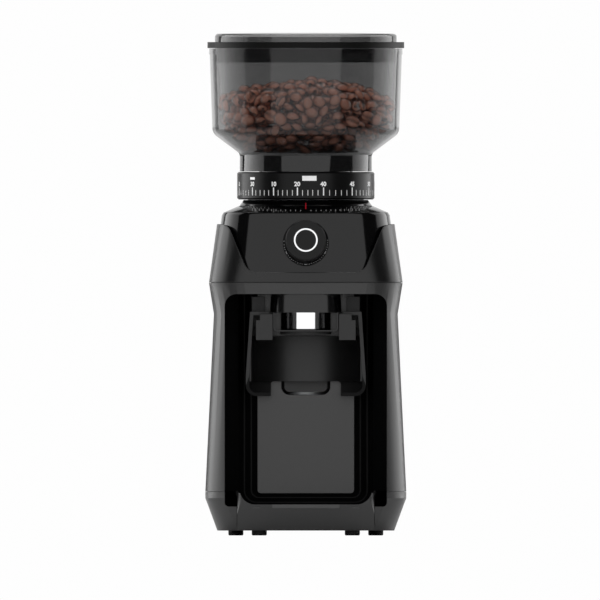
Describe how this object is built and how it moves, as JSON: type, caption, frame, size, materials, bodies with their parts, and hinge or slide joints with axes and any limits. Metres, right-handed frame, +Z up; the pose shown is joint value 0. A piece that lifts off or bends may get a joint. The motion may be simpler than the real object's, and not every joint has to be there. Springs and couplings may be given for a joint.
{
  "type": "burr coffee grinder",
  "caption": "Countertop conical burr coffee grinder with clear bean hopper, grind collar, control knob, portafilter cradle and removable grinds tray.",
  "frame": {"origin": "centre of the resting plane under the casing", "axes": "+Z up, -Y towards the front with the control knob, +X to the right as seen from the front"},
  "size_m": [0.152, 0.1919, 0.3802],
  "materials": {
    "matt_black": "fine matt moulded",
    "gloss_black": "polished",
    "smoked_clear": "smoked transparent plastic",
    "black_rubber": "matt",
    "chrome": "polished",
    "steel": "machined",
    "cast_alloy": "cast",
    "nylon": "moulded",
    "dark_plastic": "moulded",
    "board_green": "laminate",
    "light_white": "lit diffuser",
    "mark_red": "printed"
  },
  "bodies": {
    "housing": {"foot_pads": "black_rubber", "foot_screws": "steel", "base_pan": "matt_black", "lower_shell": "matt_black", "shoulder_cowl": "matt_black", "rear_cover": "matt_black", "cover_screws": "steel", "cord_gland": "black_rubber", "upper_housing": "gloss_black", "setting_mark": "mark_red", "alcove_liner": "gloss_black", "chute_block": "gloss_black", "outlet_holder": "gloss_black", "outlet_tube": "chrome", "outlet_seal": "black_rubber", "chute_flap": "black_rubber", "cradle_pegs": "steel", "paddle_pin": "steel", "paddle_spring": "steel", "start_switch": "dark_plastic", "knob_bezel": "matt_black", "knob_encoder": "dark_plastic", "control_board": "board_green", "board_screws": "steel", "collar_retainer": "cast_alloy", "shaft_bearings": "steel", "grind_chamber": "cast_alloy", "idler_pin": "steel", "motor_can": "steel", "motor_cap": "dark_plastic", "gear_plate": "cast_alloy", "gear_plate_screws": "steel"},
    "hopper": {"hopper_bowl": "smoked_clear", "shutter_screw": "steel"},
    "hopper_shutter": {"hopper_shutter": "dark_plastic"},
    "hopper_lid": {"hopper_lid": "smoked_clear", "lid_seal": "black_rubber"},
    "grind_collar": {"grind_collar": "matt_black"},
    "burr_carrier": {"burr_carrier": "dark_plastic", "ring_burr": "steel", "ring_burr_screws": "steel"},
    "burr_drive": {"cone_burr": "steel", "burr_nut": "steel", "burr_shaft": "steel", "impeller": "nylon", "burr_gear": "nylon"},
    "idler_gear": {"idler_gear": "nylon"},
    "motor_rotor": {"motor_shaft": "steel", "motor_pinion": "steel"},
    "knob_shaft": {"knob_shaft": "steel", "knob_spring": "steel"},
    "knob": {"knob_cap": "matt_black", "knob_light_ring": "light_white"},
    "cradle": {"cradle": "matt_black"},
    "start_paddle": {"start_paddle": "gloss_black"},
    "grinds_tray": {"grinds_tray": "matt_black"}
  },
  "joints": [
    {"name": "hopper_lift", "type": "slide", "parent": "housing", "child": "hopper", "axis": [0, 0, 1], "range_m": [0, 0.06]},
    {"name": "lid_lift", "type": "slide", "parent": "hopper", "child": "hopper_lid", "axis": [0, 0, 1], "range_m": [0, 0.05]},
    {"name": "shutter_turn", "type": "hinge", "parent": "hopper", "child": "hopper_shutter", "pos_m": [0, -0.01, 0.285], "axis": [0, 0, 1], "range_deg": [0, 90]},
    {"name": "collar_turn", "type": "hinge", "parent": "housing", "child": "grind_collar", "pos_m": [0, -0.01, 0.265], "axis": [0, 0, 1], "range_deg": [-90, 180]},
    {"name": "burr_lift", "type": "slide", "parent": "housing", "child": "burr_carrier", "axis": [0, 0, 1], "range_m": [-0.0005, 0.001]},
    {"name": "motor_spin", "type": "hinge", "parent": "housing", "child": "motor_rotor", "pos_m": [0, 0.045, 0.13], "axis": [0, 0, 1], "continuous": true},
    {"name": "idler_spin", "type": "hinge", "parent": "housing", "child": "idler_gear", "pos_m": [0.01554, 0.01922, 0.19], "axis": [0, 0, 1], "continuous": true},
    {"name": "burr_spin", "type": "hinge", "parent": "housing", "child": "burr_drive", "pos_m": [0, -0.01, 0.2], "axis": [0, 0, 1], "continuous": true},
    {"name": "knob_turn", "type": "hinge", "parent": "housing", "child": "knob_shaft", "pos_m": [0, -0.07715, 0.2212], "axis": [0, -0.9907, 0.1357], "continuous": true},
    {"name": "knob_push", "type": "slide", "parent": "knob_shaft", "child": "knob", "axis": [0, 0.9907, -0.1357], "range_m": [0, 0.0015], "stiffness_N_per_m": 600, "springref_m": -0.0005},
    {"name": "cradle_out", "type": "slide", "parent": "housing", "child": "cradle", "axis": [0, -1, 0], "range_m": [0, 0.09]},
    {"name": "paddle_press", "type": "hinge", "parent": "housing", "child": "start_paddle", "pos_m": [0, 0.005, 0.136], "axis": [1, 0, 0], "range_deg": [0, 5], "stiffness_Nm_per_rad": 0.05, "springref_deg": -5.73},
    {"name": "tray_out", "type": "slide", "parent": "housing", "child": "grinds_tray", "axis": [0, -1, 0], "range_m": [0, 0.09]}
  ],
  "couplings": [
    {"joint": "collar_turn", "follows": "burr_lift", "rad_per_m": 3141.6},
    {"joint": "idler_spin", "follows": "motor_spin", "ratio": -0.25},
    {"joint": "burr_spin", "follows": "motor_spin", "ratio": 0.08}
  ]
}
